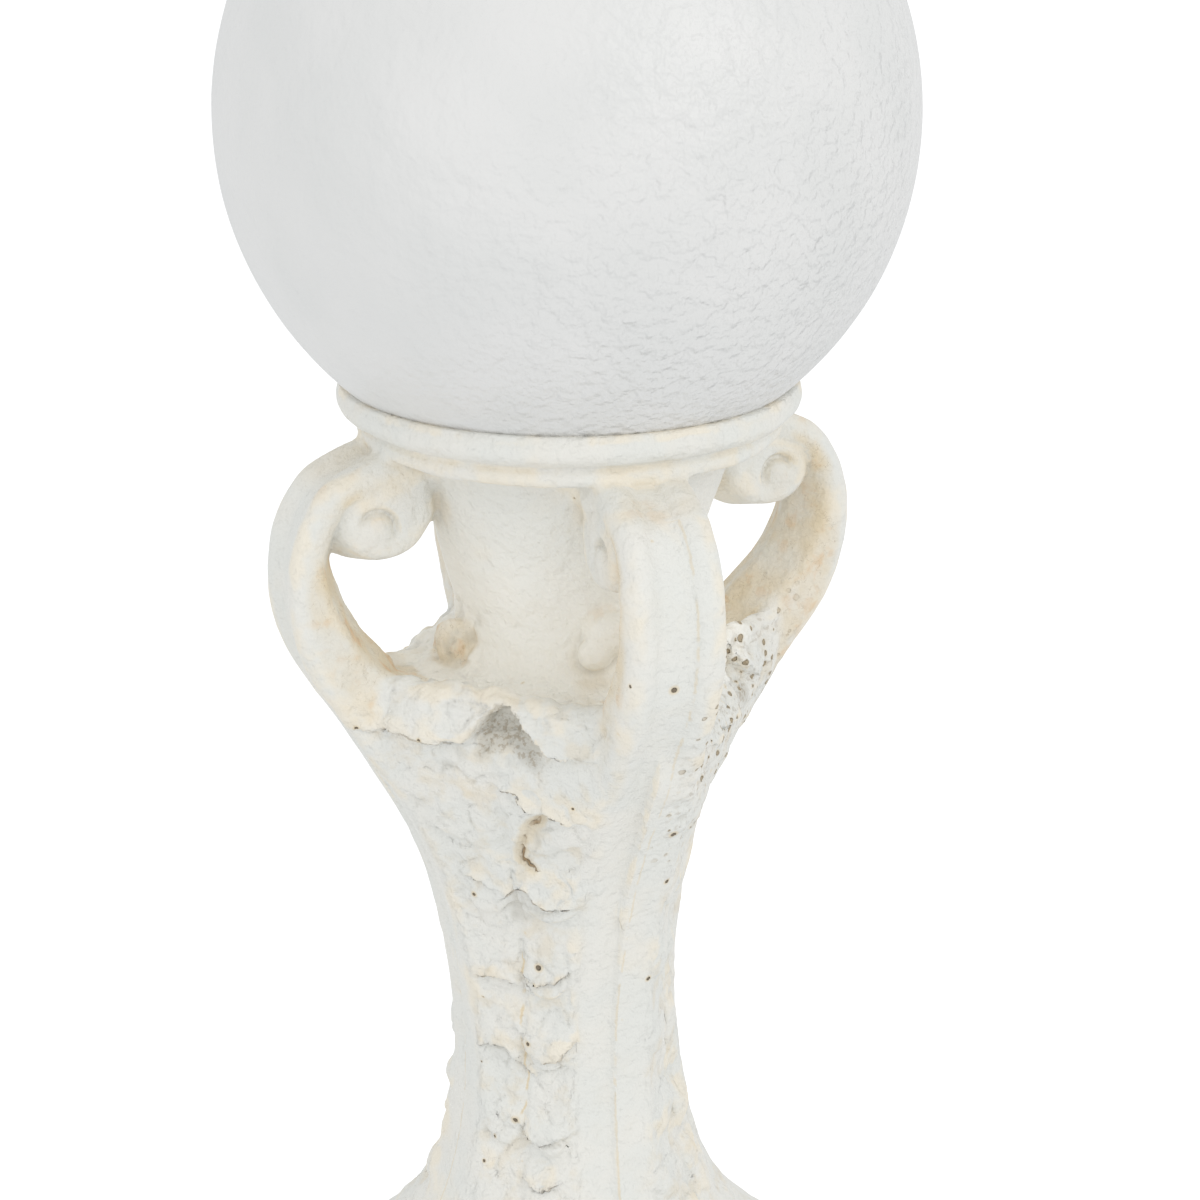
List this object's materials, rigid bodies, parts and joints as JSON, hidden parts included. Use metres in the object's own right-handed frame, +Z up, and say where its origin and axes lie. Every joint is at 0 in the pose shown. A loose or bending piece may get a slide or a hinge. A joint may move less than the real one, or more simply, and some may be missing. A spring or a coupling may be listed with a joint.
{
  "type": "finial",
  "caption": "Roof finial: a ball resting in the collar of a cast pedestal with scroll straps, a leaf-carved waisted column and a round base.",
  "frame": {"origin": "centre of the round underside of the base, on the surface that the finial stands on", "axes": "+Z up along the axis of the ball and the column; the scroll straps stand close to +X, +Y, -X and -Y"},
  "size_m": [0.2, 0.2, 0.54],
  "materials": {
    "cast_paint": "thick matte off-white paint, pitted and stained tan in the recesses",
    "ball_paint": "satin white paint with a fine orange peel"
  },
  "bodies": {
    "root": {"pedestal": "cast_paint", "ball": "ball_paint"}
  },
  "joints": []
}
